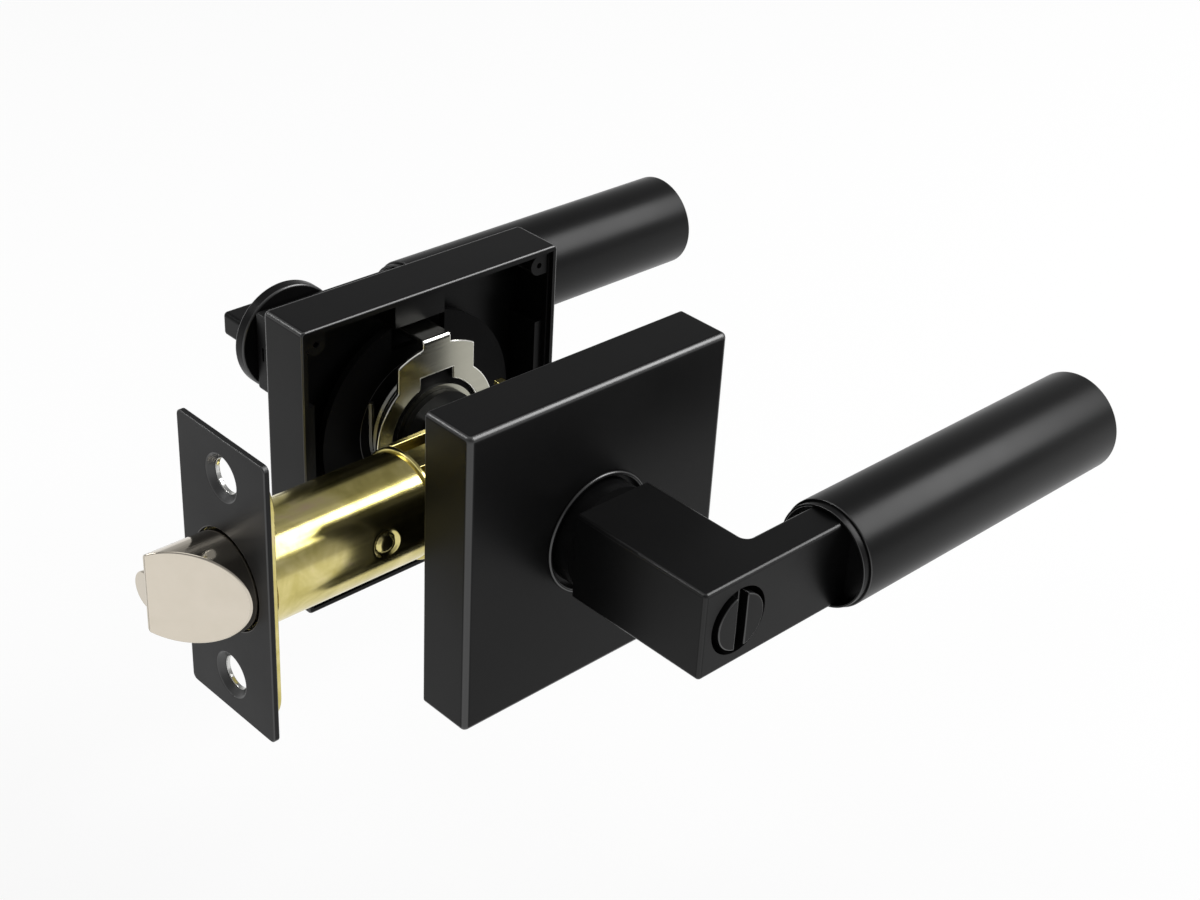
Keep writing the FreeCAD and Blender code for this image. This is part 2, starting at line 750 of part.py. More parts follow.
def make_faceplate(label):
    """Thin plate with a round hole for the bolt and two countersunk screw holes."""
    body = new_body(label)
    front = "-1 * backset"
    pad_box(body, label + "_blank", "YZ_Plane", "face_wide", "face_tall", "face_thick", out=front)
    round_edges(body, label + "_corners", "face_corner", lambda edge: runs_along(edge, along_x))
    cut_round(body, label + "_bolt_hole", "YZ_Plane", "bolt_hole", "face_thick + 1", out=front, back=True)
    for number, sign in enumerate(("1", "-1")):
        up = sign + " * screw_apart / 2"
        wide = new_sketch(body, label + "_sink%d" % number, "YZ_Plane", out=front, up=up)
        draw_circle(wide, "sink_radius")
        narrow = new_sketch(body, label + "_through%d" % number, "YZ_Plane", out=front + " + face_thick",
                            up=up)
        draw_circle(narrow, "screw_radius")
        cone = body.newObject("PartDesign::SubtractiveLoft", label + "_cone%d" % number)
        cone.Profile = wide
        cone.Sections = [narrow]
        doc.recompute()
    return body


def make_backing_plate(label):
    """Round-cornered plate between the faceplate and the tube."""
    body = new_body(label)
    front = "face_thick - backset"
    pad_box(body, label + "_blank", "YZ_Plane", "backing_wide", "backing_tall", "backing_thick", out=front)
    round_edges(body, label + "_corners", "backing_corner", lambda edge: runs_along(edge, along_x))
    cut_round(body, label + "_bolt_hole", "YZ_Plane", "bolt_hole", "backing_thick + 1", out=front, back=True)
    for number, sign in enumerate(("1", "-1")):
        cut_round(body, label + "_screw_hole%d" % number, "YZ_Plane", "screw_radius", "backing_thick + 1",
                  out=front, up=sign + " * screw_apart / 2", back=True)
    return body


def make_latch_tube(label):
    """Drawn tube from the backing plate to its rolled rim, with a crimp and a notch by the plate."""
    body = new_body(label)
    start = "face_thick + backing_thick - backset"
    long = "backset - face_thick - backing_thick - tube_end"
    pad_round(body, label + "_wall", "YZ_Plane", "tube_radius", long, out=start)
    pad_round(body, label + "_rim", "YZ_Plane", "rim_radius", "rim_long", out="-1 * tube_end", back=True)
    rims = (-amount("tube_end"), -amount("tube_end + rim_long"))
    round_edges(body, label + "_rim_edges", "(rim_radius - tube_radius) / 2",
                lambda edge: any(circle_at(edge, along_x, place, amount("rim_radius")) for place in rims))
    cut_round(body, label + "_crimp", "XZ_Plane", "crimp_radius", "crimp_deep", out="tube_radius",
              across="-1 * (tube_end + crimp_from_end)", up="crimp_up")
    cut_round(body, label + "_bore", "YZ_Plane", "tube_radius - tube_wall", long + " + 1",
              out="-1 * tube_end")
    cut_box(body, label + "_notch", "XZ_Plane", "notch_long", "notch_tall", "tube_radius / 2",
            out="tube_radius + 1", across=start + " + notch_long / 2", up="notch_up")
    return body


def make_latch_bolt(label):
    """Round bolt with a bevel towards the outside, a flat back for the plunger and a round tail."""
    body = new_body(label)
    tip = "-1 * (backset + bolt_throw)"
    inner = "bolt_inside - backset + face_thick"
    radius = "tube_radius - tube_wall - bolt_clear"
    pad_round(body, label + "_round", "YZ_Plane", radius, inner + " - (" + tip + ")", out=tip)
    cut_box(body, label + "_back", "YZ_Plane", "tube_radius", "2 * tube_radius",
            inner + " - (" + tip + ") + 1", out=tip + " - 0.5",
            across="bolt_flat + tube_radius / 2", back=True)
    bevel = new_sketch(body, label + "_bevel", "XY_Plane", out="-1 * tube_radius", across=tip)
    high = amount("bolt_flat - bolt_lip")
    low = -amount("tube_radius")
    first = draw_polygon(bevel, [(0, high), (0, low), (amount("bevel_end"), low)])
    bevel.addConstraint(Sketcher.Constraint("Vertical", first))
    bevel.addConstraint(Sketcher.Constraint("Horizontal", first + 1))
    bevel.addConstraint(Sketcher.Constraint("PointOnObject", first, 1, -2))
    hold(bevel, "lip", "bolt_flat - bolt_lip", "DistanceY", -1, 1, first, 1)
    hold(bevel, "foot", "tube_radius", "DistanceY", first + 1, 1, -1, 1)
    hold(bevel, "run", "bevel_end", "DistanceX", first + 1, 1, first + 1, 2)
    pocket(body, bevel, "2 * tube_radius", back=True)
    tip_x = amount(tip)
    round_edges(body, label + "_tip", "bolt_edge",
                lambda edge: runs_along(edge, along_z) and near(edge.BoundBox.XMin, tip_x))
    pad_round(body, label + "_tail", "YZ_Plane", "tail_radius",
              "-1 * (" + inner + ") - tube_end - pull_riser + cheek_step * 0.4", out=inner)
    return body


def make_plunger(label):
    """Half-round bar along the flat back of the bolt, with a wider foot inside the tube."""
    body = new_body(label)
    inner = "bolt_inside - backset + face_thick - plunger_back"
    tip = "plunger_short - backset - bolt_throw"
    flat = "bolt_flat + plunger_clear"
    pad_round(body, label + "_foot", "YZ_Plane", "tube_radius - tube_wall - bolt_clear", "plunger_foot",
              out=inner, back=True)
    pad_round(body, label + "_bar", "YZ_Plane", "plunger_radius", inner + " - (" + tip + ")", out=tip,
              across=flat)
    cut_box(body, label + "_flat", "YZ_Plane", "2 * tube_radius", "2 * tube_radius",
            inner + " - (" + tip + ") + 1", out=tip + " - 0.5",
            across=flat + " - tube_radius", back=True)
    return body


def make_coil_spring(label, wire_radius, radius, turns, low, high, across):
    """Compression spring of six-sided wire along X between two seats, at y = across."""
    helix = doc.addObject("Part::Helix", label + "_helix")
    helix.Placement = FreeCAD.Placement(zero, FreeCAD.Rotation(along_y, 90))
    section = doc.addObject("Part::RegularPolygon", label + "_section")
    section.Polygon = 6
    section.Placement = FreeCAD.Placement(zero, FreeCAD.Rotation(along_x, 90))
    start = low + " + " + wire_radius
    travel = "(" + high + ") - (" + low + ") - 2 * " + wire_radius
    helix.setExpression("Placement.Base.x", bound(start))
    helix.setExpression("Placement.Base.y", bound(across))
    helix.setExpression("Height", bound(travel))
    helix.setExpression("Pitch", bound("(" + travel + ") / " + turns))
    helix.setExpression("Radius", bound(radius))
    section.setExpression("Placement.Base.x", bound(start))
    section.setExpression("Placement.Base.y", bound(across))
    section.setExpression("Placement.Base.z", bound("-1 * " + radius))
    section.setExpression("Circumradius", bound(wire_radius))
    doc.recompute()
    spring = doc.addObject("Part::Sweep", label)
    spring.Label = label
    spring.Sections = [section]
    spring.Spine = (helix, ["Edge%d" % (number + 1) for number in range(len(helix.Shape.Edges))])
    spring.Solid = True
    spring.Frenet = True
    nodes.append(spring)
    return spring


def make_hub_frame(label):
    """Plug in the end of the tube with two cheeks that carry the hub."""
    body = new_body(label)
    plug = "-1 * (tube_end + plug_inset + plug_thick)"
    pad_round(body, label + "_plug", "YZ_Plane", "tube_radius - tube_wall", "plug_thick", out=plug)
    cut_round(body, label + "_plug_hole", "YZ_Plane", "tail_radius + tail_clear", "plug_thick + 1",
              out=plug, back=True)
    for number, start in enumerate(("cheek_gap / 2", "-1 * cheek_gap / 2 - cheek_thick")):
        neck = "tube_end + plug_inset"
        pad_box(body, label + "_neck%d" % number, "XZ_Plane", neck, "cheek_neck", "cheek_thick", out=start,
                across="-1 * (" + neck + ") / 2")
        cheek = "tube_end - cheek_step"
        pad_box(body, label + "_cheek%d" % number, "XZ_Plane", cheek, "cheek_tall", "cheek_thick",
                out=start, across="-1 * (" + cheek + ") / 2")
        pad_round(body, label + "_eye%d" % number, "XZ_Plane", "cheek_tall / 2", "cheek_thick", out=start)
    pad_box(body, label + "_bridge", "XZ_Plane", "bridge_long", "bridge_thick", "cheek_gap",
            out="-1 * cheek_gap / 2", across="-1 * (tube_end - cheek_step - bridge_long / 2)",
            up="bridge_thick / 2 - cheek_tall / 2")
    cut_round(body, label + "_hub_hole", "XZ_Plane", "hub_journal + run_clear",
              "cheek_gap + 2 * cheek_thick + 1", out="cheek_gap / 2 + cheek_thick")
    return body


def make_latch_hub(label):
    """Follower on the spindle, with a finger that pushes the retractor."""
    body = new_body(label)
    half = "cheek_gap / 2 + cheek_thick + hub_proud"
    pad_round(body, label + "_journal", "XZ_Plane", "hub_journal", "2 * (" + half + ")", out=half, back=True)
    waist = new_sketch(body, label + "_waist", "XZ_Plane", out="hub_waist_long / 2")
    draw_circle(waist, "hub_waist", "inner")
    draw_circle(waist, "hub_journal + 1", "outer")
    pocket(body, waist, "hub_waist_long")
    pad_box(body, label + "_finger", "XY_Plane", "finger_thick", "finger_wide", "finger_long - hub_waist + 1",
            out="hub_waist - 1")
    top = amount("finger_long")
    round_edges(body, label + "_finger_tip", "finger_edge",
                lambda edge: runs_along(edge, along_y) and near(edge.BoundBox.ZMin, top))
    socket = "spindle_side + spindle_clear"
    cut_box(body, label + "_socket", "XZ_Plane", socket, socket, "2 * (" + half + ") + 1", out=half)
    return body


def make_retractor(label):
    """Bent strip from the bolt's tail over the hub to a pad beyond the finger."""
    body = new_body(label)
    under = "hub_waist + pull_clear"
    riser_low = "cheek_step * 0.4 - tube_end - pull_riser"
    top = under + " + pull_thick"
    pad_box(body, label + "_riser", "YZ_Plane", "pull_wide", top + " + pull_below", "pull_riser",
            out=riser_low, up="(" + top + " - pull_below) / 2")
    strip_start = riser_low + " + pull_riser"
    pad_face = "finger_thick / 2 + pull_clear"
    pad_box(body, label + "_strip", "YZ_Plane", "pull_wide", "pull_thick",
            pad_face + " + pull_pad - (" + strip_start + ")", out=strip_start, up=under + " + pull_thick / 2")
    pad_box(body, label + "_pad", "YZ_Plane", "pull_wide", "pull_tall - (" + under + ")", "pull_pad",
            out=pad_face, up="(pull_tall + " + under + ") / 2")
    cut_box(body, label + "_slot", "XY_Plane", pad_face + " + pull_slot_back",
            "finger_wide + 2 * pull_clear", "pull_thick + 0.5", out=top,
            across="(" + pad_face + " - pull_slot_back) / 2")
    return body


for place in ("front", "rear"):
    rose = make_rose(place + "_rose")
    collar = make_collar(place + "_collar")
    plate = make_retaining_plate(place + "_retaining_plate")
    washer = make_washer(place + "_washer")
    ring = make_retaining_ring(place + "_retaining_ring")
    spring = make_return_spring(place + "_return_spring")
    grip = make_grip(place + "_grip")
    end_ring = make_end_ring(place + "_grip_ring")
    if place == "front":
        make_carrier(place + "_carrier", "through_radius")
        make_lever(place + "_lever", "button_hole", "button_hole_deep", False)
    else:
        carrier = make_carrier(place + "_carrier", "through_radius + through_clear")
        lever = make_lever(place + "_lever", "spigot_radius + spigot_clear", "spigot_long + turn_gap", True)
        for body in (rose, collar, plate, washer, ring, carrier):
            turn_inside(body, along_z)
        spring_turn = FreeCAD.Placement(zero, FreeCAD.Rotation(along_z, 180))
        spring.Placement = spring_turn.multiply(spring.Placement)
        for body in (lever, grip, end_ring):
            turn_inside(body, along_x)

make_release_button("release_button")
turn_inside(make_thumb_turn("thumb_turn"), along_x)
make_privacy_rod("privacy_rod")
make_spindle("spindle")
make_through_bolts("through_bolts")
make_faceplate("faceplate")
make_backing_plate("backing_plate")
make_latch_tube("latch_tube")
make_latch_bolt("latch_bolt")
make_plunger("deadlatch_plunger")
bolt_back = "bolt_inside - backset + face_thick"
plug_face = "-1 * (tube_end + plug_inset + plug_thick)"
make_coil_spring("bolt_spring", "bolt_wire", "bolt_coil", "bolt_turns", bolt_back, plug_face, "0")
make_coil_spring("plunger_spring", "plunger_wire", "plunger_coil", "plunger_turns",
                 bolt_back + " - plunger_back", plug_face, "bolt_flat + plunger_clear + plunger_radius / 2")
make_hub_frame("hub_frame")
make_latch_hub("latch_hub")
make_retractor("retractor")

doc.recompute()
for item in doc.Objects:
    if "Invalid" in item.State or "Error" in item.State:
        raise ValueError(item.Label + " failed")
for node in nodes:
    if node.Shape.isNull() or not node.Shape.isValid():
        raise ValueError(node.Label + " has no valid shape")

os.makedirs("parts", exist_ok=True)
for node in nodes:
    node.Shape.exportStep("parts/" + node.Label + ".step")
    print(node.Label, len(node.Shape.Solids), round(node.Shape.Volume, 1))
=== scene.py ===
import math

import bmesh
import bpy
import numpy as np
from mathutils import Matrix, Vector


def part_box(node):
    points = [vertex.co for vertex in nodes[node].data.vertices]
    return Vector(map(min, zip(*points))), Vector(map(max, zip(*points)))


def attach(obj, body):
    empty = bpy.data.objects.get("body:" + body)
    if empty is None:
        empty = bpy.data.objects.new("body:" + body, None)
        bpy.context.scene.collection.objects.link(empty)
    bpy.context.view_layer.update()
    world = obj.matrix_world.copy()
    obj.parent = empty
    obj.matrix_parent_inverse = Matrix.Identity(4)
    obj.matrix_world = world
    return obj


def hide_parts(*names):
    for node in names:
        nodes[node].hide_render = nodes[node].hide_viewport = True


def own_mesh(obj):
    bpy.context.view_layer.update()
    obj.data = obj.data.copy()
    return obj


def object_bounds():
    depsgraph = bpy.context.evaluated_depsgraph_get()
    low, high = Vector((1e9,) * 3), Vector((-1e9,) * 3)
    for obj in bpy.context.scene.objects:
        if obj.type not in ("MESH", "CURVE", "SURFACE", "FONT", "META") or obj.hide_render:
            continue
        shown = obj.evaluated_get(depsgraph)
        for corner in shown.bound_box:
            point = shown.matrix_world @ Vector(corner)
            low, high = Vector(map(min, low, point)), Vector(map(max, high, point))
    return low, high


# Looks of a black lever lockset. Metres, +X from the faceplate to the grips, +Y to the inside of the door.
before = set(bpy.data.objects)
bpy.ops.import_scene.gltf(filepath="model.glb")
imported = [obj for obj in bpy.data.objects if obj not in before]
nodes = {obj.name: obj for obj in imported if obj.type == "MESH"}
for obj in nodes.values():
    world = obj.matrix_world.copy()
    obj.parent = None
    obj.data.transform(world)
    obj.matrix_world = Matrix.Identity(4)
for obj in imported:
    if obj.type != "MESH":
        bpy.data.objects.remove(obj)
cadBox = [list(corner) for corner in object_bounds()]
mm = 0.001
print("frame loaded:", len(nodes), "nodes")


# Shapes

mergeWithin = 1e-7  # metres between vertices that are one


def arcAt(before, corner, after, radius, steps):
    # arc tangent to both legs of a corner: centre + radius (cos, sin) from one tangent point to the other
    toBefore = (before - corner) / np.linalg.norm(before - corner)
    toAfter = (after - corner) / np.linalg.norm(after - corner)
    half = math.acos(float(np.clip(toBefore @ toAfter, -1, 1))) / 2
    middle = (toBefore + toAfter) / np.linalg.norm(toBefore + toAfter)
    centre = corner + middle * radius / math.sin(half)
    first = corner + toBefore * radius / math.tan(half) - centre
    last = corner + toAfter * radius / math.tan(half) - centre
    sweep = math.atan2(first[0] * last[1] - first[1] * last[0], float(first @ last))
    turn = np.linspace(0, sweep, steps + 1)
    return centre + np.stack([first[0] * np.cos(turn) - first[1] * np.sin(turn),
                              first[0] * np.sin(turn) + first[1] * np.cos(turn)], 1)


def profileOf(corners, closed, steps):
    # polyline of (along, radius) corners, each replaced by an arc where it has a third number, the radius
    flat = np.array([corner[:2] for corner in corners], float)
    parts = []
    for number, corner in enumerate(corners):
        inside = closed or 0 < number < len(corners) - 1
        if len(corner) > 2 and inside:
            following = flat[(number + 1) % len(corners)]
            parts.append(arcAt(flat[number - 1], flat[number], following, corner[2], steps))
        else:
            parts.append(flat[number][None])
    return np.concatenate(parts)


def gridMesh(name, points, wrapAcross, wrapAlong):
    # quads between neighbours of a grid of points [along, across], wrapped round where asked
    along, across = points.shape[:2]
    row = np.arange(along if wrapAlong else along - 1)
    column = np.arange(across if wrapAcross else across - 1)
    row, column = np.meshgrid(row, column, indexing="ij")
    nextRow = (row + 1) % along
    nextColumn = (column + 1) % across
    quads = np.stack([row * across + column, row * across + nextColumn,
                      nextRow * across + nextColumn, nextRow * across + column], -1).reshape(-1, 4)
    mesh = bpy.data.meshes.new(name)
    mesh.from_pydata(points.reshape(-1, 3), [], quads)
    return mesh


def finishPiece(name, mesh, material, body, replaced, sharpAt=35):
    # welds poles and seams, turns faces outwards, marks edges over sharpAt degrees, then rides on its body
    work = bmesh.new()
    work.from_mesh(mesh)
    bmesh.ops.remove_doubles(work, verts=work.verts, dist=mergeWithin)
    bmesh.ops.dissolve_degenerate(work, edges=work.edges, dist=mergeWithin)
    bmesh.ops.recalc_face_normals(work, faces=work.faces)
    work.to_mesh(mesh)
    work.free()
    mesh.polygons.foreach_set("use_smooth", np.ones(len(mesh.polygons), bool))
    mesh.set_sharp_from_angle(angle=math.radians(sharpAt))
    mesh.materials.append(material)
    piece = bpy.data.objects.new(name, mesh)
    bpy.context.scene.collection.objects.link(piece)
    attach(piece, body)
    if replaced:
        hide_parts(replaced)
    return piece


def turned(profile, centre, axis, segments):
    # profile (along, radius) carried round an axis: centre + along axis + radius (cos a across + sin a up)
    axis = np.array(axis, float)
    across = np.array([axis[1], axis[2], axis[0]])
    up = np.cross(axis, across)
    angle = np.linspace(0, 2 * math.pi, segments, endpoint=False)
    ring = np.cos(angle)[:, None] * across + np.sin(angle)[:, None] * up
    place = np.array(centre, float) + profile[:, 0][:, None] * axis
    return place[:, None] + profile[:, 1][:, None, None] * ring[None]


# Shader steps

noiseFrom, noiseTo = 0.3, 0.7  # fractal noise seldom leaves this span
evenScale = (1, 1, 1)


def shaderFor(name):
    material = bpy.data.materials.new(name)
    material.use_nodes = True
    tree = material.node_tree
    return material, tree, tree.nodes["Principled BSDF"]


def worked(tree, operation, *values):
    # one step of arithmetic on sockets or plain numbers
    step = tree.nodes.new("ShaderNodeMath")
    step.operation = operation
    for socket, value in zip(step.inputs, values):
        if isinstance(value, (int, float)):
            socket.default_value = value
        else:
            tree.links.new(value, socket)
    return step.outputs[0]


def objectPlace(tree, scale=evenScale):
    # object coordinates, stretched by a scale for each axis
    coordinate = tree.nodes.new("ShaderNodeTexCoord")
    mapping = tree.nodes.new("ShaderNodeMapping")
    mapping.inputs["Scale"].default_value = scale
    tree.links.new(coordinate.outputs["Object"], mapping.inputs["Vector"])
    return mapping.outputs["Vector"]


def objectNormal(tree):
    return tree.nodes.new("ShaderNodeTexCoord").outputs["Normal"]


def partsOf(tree, vector):
    # the X, Y and Z of a vector, by name
    parts = tree.nodes.new("ShaderNodeSeparateXYZ")
    tree.links.new(vector, parts.inputs[0])
    return parts.outputs


def lengthOf(tree, first, second):
    # root of the two squares' sum
    squares = [worked(tree, "MULTIPLY", value, value) for value in (first, second)]
    return worked(tree, "SQRT", worked(tree, "ADD", *squares))


def noise(tree, place, scale, detail=3, roughness=0.55, distortion=0):
    texture = tree.nodes.new("ShaderNodeTexNoise")
    texture.inputs["Scale"].default_value = scale
    texture.inputs["Detail"].default_value = detail
    texture.inputs["Roughness"].default_value = roughness
    texture.inputs["Distortion"].default_value = distortion
    tree.links.new(place, texture.inputs["Vector"])
    return texture.outputs["Fac"]


def spread(tree, value, low, high, start=noiseFrom, end=noiseTo):
    # value from start to end becomes low to high
    reach = tree.nodes.new("ShaderNodeMapRange")
    reach.inputs["From Min"].default_value = start
    reach.inputs["From Max"].default_value = end
    reach.inputs["To Min"].default_value = low
    reach.inputs["To Max"].default_value = high
    tree.links.new(value, reach.inputs["Value"])
    return reach.outputs["Result"]


def ramp(tree, value, stops):
    # colours at their places along value; an added stop begins at the end
    node = tree.nodes.new("ShaderNodeValToRGB")
    elements = node.color_ramp.elements
    while len(elements) < len(stops):
        elements.new(1)
    for element, (place, colour) in zip(elements, stops):
        element.position = place
        element.color = (*colour, 1)
    tree.links.new(value, node.inputs["Fac"])
    return node.outputs["Color"]


def mixedOver(tree, base, mask, colour):
    # colour where the mask is 1, base elsewhere
    mix = tree.nodes.new("ShaderNodeMix")
    mix.data_type = "RGBA"
    mix.inputs["B"].default_value = (*colour, 1)
    tree.links.new(mask, mix.inputs["Factor"])
    tree.links.new(base, mix.inputs["A"])
    return mix.outputs["Result"]


def bumpFrom(tree, height, depth, strength):
    bump = tree.nodes.new("ShaderNodeBump")
    bump.inputs["Strength"].default_value = strength
    bump.inputs["Distance"].default_value = depth
    tree.links.new(height, bump.inputs["Height"])
    return bump.outputs["Normal"]


# Black paint and plastic

satinBlack = {"dark": 0.0034, "darkBlue": 1.03, "light": 0.0046, "lightBlue": 1.04, "gloss": (0.31, 0.37),
              "specular": 0.11, "edgeSpecular": 0.85, "edgeFrom": 0.985, "edgeFull": 0.93, "turnedAbout": "",
              "cloud": {"scale": 22, "detail": 4}, "glossCloud": {"scale": 60, "detail": 5},
              "grain": {"scale": 2600, "detail": 2}, "grainDepth": 0.004 * mm, "grainStrength": 0.25}
gripBlack = dict(satinBlack, turnedAbout="X", specular=0.17, edgeSpecular=0.95)
collarBlack = dict(satinBlack, turnedAbout="Y", edgeSpecular=0.95)
leverBlack = dict(satinBlack, specular=0.13, edgeSpecular=0.38)
facePaint = dict(satinBlack, dark=0.010, light=0.014, gloss=(0.34, 0.42), specular=0.12)
mattePlastic = dict(satinBlack, dark=0.002, light=0.004, gloss=(0.42, 0.52), specular=0.05,
                    edgeSpecular=0.3)


def edgeShare(tree, look):
    # 1 on eased edges: the largest part of the normal along the piece's own axes falls below edgeFull;
    # a turned piece has two such parts, along its axis and away from it
    parts = partsOf(tree, objectNormal(tree))
    sizes = {axis: worked(tree, "ABSOLUTE", parts[axis]) for axis in "XYZ"}
    if look["turnedAbout"]:
        along = sizes[look["turnedAbout"]]
        away = worked(tree, "SQRT", worked(tree, "SUBTRACT", 1, worked(tree, "MULTIPLY", along, along)))
        most = worked(tree, "MAXIMUM", along, away)
    else:
        most = worked(tree, "MAXIMUM", sizes["X"], worked(tree, "MAXIMUM", sizes["Y"], sizes["Z"]))
    return spread(tree, most, 1, 0, look["edgeFull"], look["edgeFrom"])


def makeSatinBlack(name, look):
    # fine sprayed paint: slow change of tone and gloss, a fine grain as bump, and edges rubbed brighter
    material, tree, shader = shaderFor(name)
    place = objectPlace(tree)
    low, high = look["dark"], look["light"]
    stops = [(noiseFrom, (low, low, low * look["darkBlue"])), (noiseTo, (high, high, high * look["lightBlue"]))]
    cloud = noise(tree, place, **look["cloud"])
    tree.links.new(ramp(tree, cloud, stops), shader.inputs["Base Color"])
    gloss = noise(tree, place, **look["glossCloud"])
    tree.links.new(spread(tree, gloss, *look["gloss"]), shader.inputs["Roughness"])
    grain = noise(tree, place, **look["grain"])
    normal = bumpFrom(tree, grain, look["grainDepth"], look["grainStrength"])
    tree.links.new(normal, shader.inputs["Normal"])
    rubbed = spread(tree, edgeShare(tree, look), look["specular"], look["edgeSpecular"], 0, 1)
    tree.links.new(rubbed, shader.inputs["Specular IOR Level"])
    return material


# Plated sheet, wire and rod

# nickel plate: the near-white rim colour is a painted highlight on the plate's rims
nickelPlate = {"colours": ((0.34, 0.335, 0.28), (0.43, 0.42, 0.35)), "gloss": (0.15, 0.22),
               "stretch": (50, 2200, 2200), "streak": {"scale": 1, "detail": 4, "roughness": 0.6},
               "cloud": {"scale": 90}, "bumpDepth": 0.004 * mm, "bumpStrength": 0.08,
               "rimHighlightColour": (0.93, 0.92, 0.86), "rimFrom": 0.985, "rimFull": 0.90}
platedSteel = {"colours": ((0.34, 0.34, 0.32), (0.46, 0.46, 0.43)), "gloss": (0.22, 0.38),
               "stretch": (500, 60, 500), "streak": {"scale": 1, "detail": 4, "roughness": 0.6},
               "cloud": {"scale": 90}, "bumpDepth": 0.004 * mm, "bumpStrength": 0.25}


def rimHighlightMask(tree, look):
    # 1 where the normal leaves the Y axis: the sheared and rolled rims of a stamped plate, which get a painted
    #                                       highlight
    facing = worked(tree, "ABSOLUTE", partsOf(tree, objectNormal(tree))["Y"])
    return spread(tree, facing, 1, 0, look["rimFull"], look["rimFrom"])


def makeMetal(name, look):
    # rolled or drawn metal: streaks along one axis change its tone, its gloss and a shallow bump;
    # a painted highlight, a near-white colour on the rims, where the look names it
    material, tree, shader = shaderFor(name)
    streak = noise(tree, objectPlace(tree, look["stretch"]), **look["streak"])
    cloud = noise(tree, objectPlace(tree), **look["cloud"])
    mixed = worked(tree, "MULTIPLY", worked(tree, "ADD", streak, cloud), 0.5)
    low, high = look["colours"]
    base = ramp(tree, mixed, [(noiseFrom, low), (noiseTo, high)])
    # painted highlight: a near-white colour on the rims stands in for their bright reflections
    if "rimHighlightColour" in look:
        base = mixedOver(tree, base, rimHighlightMask(tree, look), look["rimHighlightColour"])
    tree.links.new(base, shader.inputs["Base Color"])
    tree.links.new(spread(tree, mixed, *look["gloss"]), shader.inputs["Roughness"])
    tree.links.new(bumpFrom(tree, streak, look["bumpDepth"], look["bumpStrength"]), shader.inputs["Normal"])
    shader.inputs["Metallic"].default_value = 1
    return material


# Yellow chromate

chromate = {"stops": [(0.25, (0.42, 0.36, 0.105)), (0.45, (0.58, 0.50, 0.175)),
                      (0.62, (0.70, 0.61, 0.27)), (0.78, (0.69, 0.53, 0.34))],
            "cloud": {"scale": 120, "detail": 4, "roughness": 0.6, "distortion": 0.4},
            "gloss": (0.15, 0.23), "stretch": (18, 1500, 1500), "lines": {"scale": 1},
            "bumpDepth": 0.003 * mm, "bumpStrength": 0.2}
# painted shade: a near-black colour round the bolt's hole stands in for the shade inside the tube
tubeChromate = dict(chromate, throatShadeColour=(0.03, 0.027, 0.018), throatRadius=9.77 * mm,
                    throatEnd=-56 * mm)
boredChromate = dict(tubeChromate, bareColour=(0.62, 0.62, 0.60), boreHigh=20.64 * mm,
                     boreRadius=3.4 * mm)


def boreMask(tree, look):
    # 1 within the bore's radius of either screw hole: distance of (y, |z|) from (0, boreHigh)
    parts = partsOf(tree, objectPlace(tree))
    above = worked(tree, "SUBTRACT", worked(tree, "ABSOLUTE", parts["Z"]), look["boreHigh"])
    return worked(tree, "LESS_THAN", lengthOf(tree, above, parts["Y"]), look["boreRadius"])


def throatShadeMask(tree, look):
    # 1 near the bolt's hole, where it paints shade: distance of (y, z) from the axis below throatRadius and x
    # below throatEnd
    parts = partsOf(tree, objectPlace(tree))
    near = worked(tree, "LESS_THAN", lengthOf(tree, parts["Z"], parts["Y"]), look["throatRadius"])
    return worked(tree, "MULTIPLY", near, worked(tree, "LESS_THAN", parts["X"], look["throatEnd"]))


def makeChromate(name, look):
    # yellow chromate on zinc: clouds of olive, gold, pale yellow and a little pink, with fine draw lines
    # along X; bare steel in the walls of the screw holes, and painted shade round the bolt, where the look
    # names them
    material, tree, shader = shaderFor(name)
    base = ramp(tree, noise(tree, objectPlace(tree), **look["cloud"]), look["stops"])
    # painted shade round the bolt's hole, where shade falls inside the tube
    if "throatShadeColour" in look:
        base = mixedOver(tree, base, throatShadeMask(tree, look), look["throatShadeColour"])
    if "bareColour" in look:
        base = mixedOver(tree, base, boreMask(tree, look), look["bareColour"])
    tree.links.new(base, shader.inputs["Base Color"])
    lines = noise(tree, objectPlace(tree, look["stretch"]), **look["lines"])
    tree.links.new(spread(tree, lines, *look["gloss"]), shader.inputs["Roughness"])
    tree.links.new(bumpFrom(tree, lines, look["bumpDepth"], look["bumpStrength"]), shader.inputs["Normal"])
    shader.inputs["Metallic"].default_value = 1
    return material


# Nickel of the bolt and its plunger

boltNickel = {"colour": (0.63, 0.575, 0.49), "shade": (0.96, 0.96, 0.95), "lift": 1.2,
              "polished": 0.10, "satin": 0.42, "bevelNormal": (-0.775, -0.632, 0),
              "bevelFrom": 0.985, "bevelFull": 0.998, "cloud": {"scale": 260, "detail": 4},
              "stretch": (700, 3000, 3000), "fine": {"scale": 1, "detail": 2},
              "bumpDepth": 0.003 * mm, "bumpStrength": 0.12}


